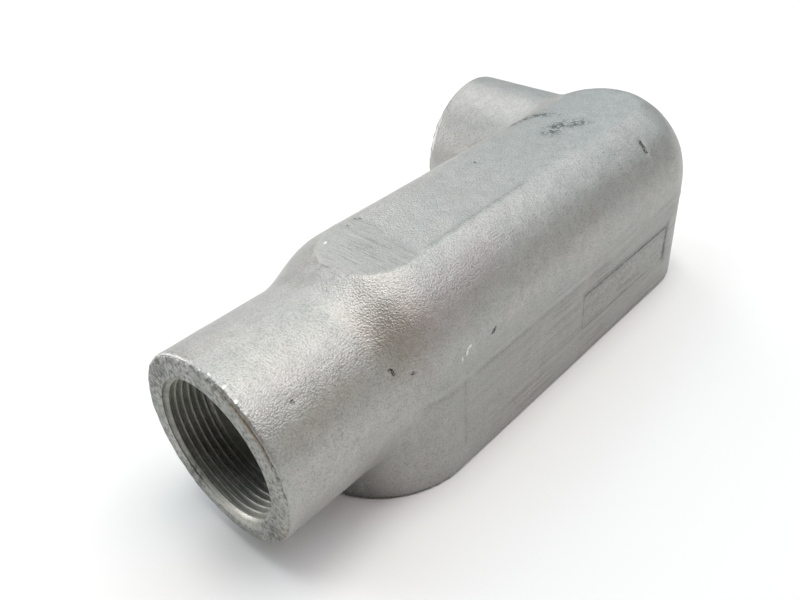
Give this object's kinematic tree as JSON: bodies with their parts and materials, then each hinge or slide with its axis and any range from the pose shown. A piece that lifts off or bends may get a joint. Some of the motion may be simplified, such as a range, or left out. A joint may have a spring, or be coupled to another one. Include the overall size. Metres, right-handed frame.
{
  "type": "conduit body",
  "caption": "Hollow right-hand angle conduit body: a long cast chamber with a flat back, an open cover side, and two threaded hubs at right angles.",
  "frame": {"origin": "centre of the bounding box at the plane of the cover opening, which the part rests on", "axes": "+X from the end hub's mouth to the closed round end, +Y the way the side hub faces, +Z from the cover opening to the flat back"},
  "size_m": [0.232, 0.0998, 0.073],
  "materials": {
    "casting": "sand cast, with a matt silver-grey protective finish"
  },
  "bodies": {
    "root": {"conduit_body": "casting"}
  },
  "joints": []
}
